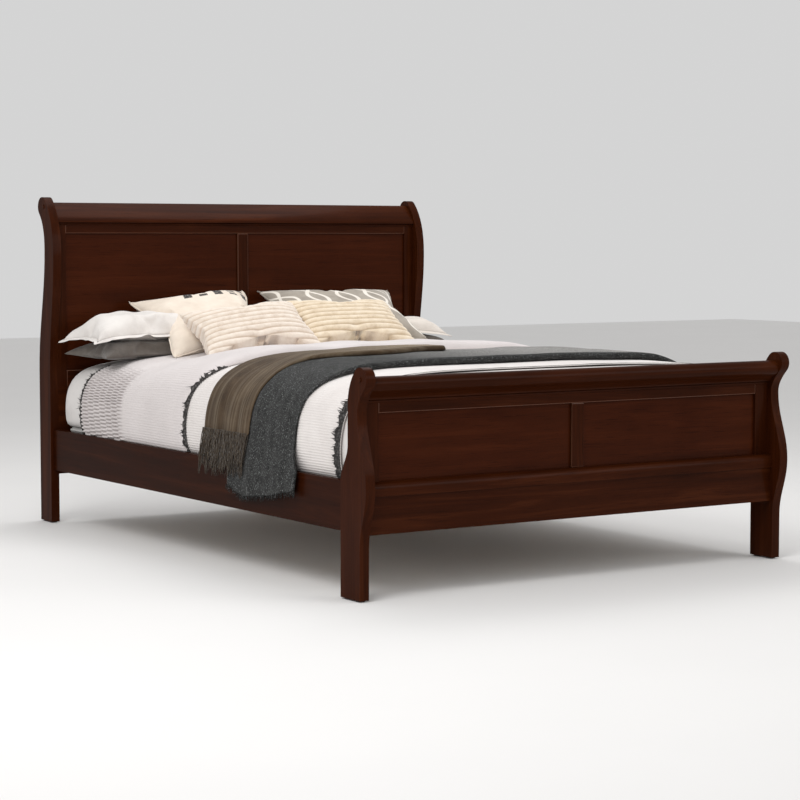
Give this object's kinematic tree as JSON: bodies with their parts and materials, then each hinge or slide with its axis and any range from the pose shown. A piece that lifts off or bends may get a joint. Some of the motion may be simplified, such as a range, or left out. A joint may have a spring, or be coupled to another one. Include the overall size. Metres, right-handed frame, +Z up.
{
  "type": "sleigh bed",
  "caption": "Queen-size sleigh bed with scrolled posts, two-panel headboard and footboard, slats on a centre beam and legs, mattress, bedding, throws and cushions.",
  "frame": {"origin": "on the floor under the middle of the bed's box", "axes": "+Z up, +Y towards the headboard, +X to the right of someone standing at the footboard and facing the headboard"},
  "size_m": [1.625, 2.259, 1.194],
  "materials": {
    "wood_dark": "satin, dark cherry stain",
    "wood_panel": "satin, dark cherry veneer",
    "wood_button": "satin",
    "wood_plain": "bare pine",
    "plastic_black": "matte",
    "steel": "zinc plated",
    "screw_brass": "plain",
    "foundation_cloth": "woven ticking",
    "mattress_cloth": "quilted knit",
    "coverlet_cloth": "fine ribbed cotton",
    "duvet_cloth": "fine ribbed cotton",
    "throw_grey": "heather wool",
    "throw_brown": "wool with a fringe",
    "pillow_cotton": "plain cotton",
    "pillow_grey": "plain cotton",
    "cushion_printed": "linen with printed bars",
    "cushion_trellis": "linen with a pale trellis",
    "lumbar_cloth": "fluted velvet"
  },
  "bodies": {
    "bed": {"head_post_left": "wood_dark", "head_post_right": "wood_dark", "head_crown_rail": "wood_dark", "head_bead": "wood_dark", "head_top_rail": "wood_dark", "head_bottom_rail": "wood_dark", "head_lower_board": "wood_dark", "head_stile_left": "wood_dark", "head_stile_right": "wood_dark", "head_mullion": "wood_dark", "head_panel_left": "wood_panel", "head_panel_right": "wood_panel", "foot_post_left": "wood_dark", "foot_post_right": "wood_dark", "foot_cap_rail": "wood_dark", "foot_bead": "wood_dark", "foot_top_rail": "wood_dark", "foot_base_moulding": "wood_dark", "foot_apron": "wood_dark", "foot_stile_left": "wood_dark", "foot_stile_right": "wood_dark", "foot_mullion": "wood_dark", "foot_panel_left": "wood_panel", "foot_panel_right": "wood_panel", "post_buttons": "wood_button", "post_glides": "plastic_black", "frame_dowels": "wood_plain", "side_rail_left": "wood_dark", "side_rail_right": "wood_dark", "hook_plates": "steel", "lock_pins": "steel", "ledger_left": "wood_plain", "ledger_right": "wood_plain", "ledger_screws": "screw_brass", "slats": "wood_plain", "slat_screws": "screw_brass", "centre_beam": "wood_plain", "centre_leg_1": "wood_plain", "centre_leg_2": "wood_plain", "centre_leg_3": "wood_plain", "leg_bolts": "steel", "foundation": "foundation_cloth", "mattress": "mattress_cloth", "coverlet": "coverlet_cloth", "duvet": "duvet_cloth", "throw_grey": "throw_grey", "throw_brown": "throw_brown", "throw_fringe": "throw_brown", "pillow_left_lower": "pillow_grey", "pillow_left": "pillow_cotton", "pillow_right_lower": "pillow_grey", "pillow_right": "pillow_cotton", "cushion_printed": "cushion_printed", "cushion_trellis": "cushion_trellis"},
    "lumbar_left": {"lumbar_left": "lumbar_cloth"},
    "lumbar_right": {"lumbar_right": "lumbar_cloth"},
    "levelling_foot_1": {"levelling_foot_1": "plastic_black"},
    "levelling_foot_2": {"levelling_foot_2": "plastic_black"},
    "levelling_foot_3": {"levelling_foot_3": "plastic_black"}
  },
  "joints": [
    {"name": "lumbar_left_lift", "type": "slide", "parent": "bed", "child": "lumbar_left", "axis": [0, 0, 1], "range_m": [0, 0.3]},
    {"name": "lumbar_right_lift", "type": "slide", "parent": "bed", "child": "lumbar_right", "axis": [0, 0, 1], "range_m": [0, 0.3]},
    {"name": "level_1_screw", "type": "slide", "parent": "bed", "child": "levelling_foot_1", "axis": [0, 0, -1], "range_m": [0, 0.015]},
    {"name": "level_2_screw", "type": "slide", "parent": "bed", "child": "levelling_foot_2", "axis": [0, 0, -1], "range_m": [0, 0.015]},
    {"name": "level_3_screw", "type": "slide", "parent": "bed", "child": "levelling_foot_3", "axis": [0, 0, -1], "range_m": [0, 0.015]}
  ]
}
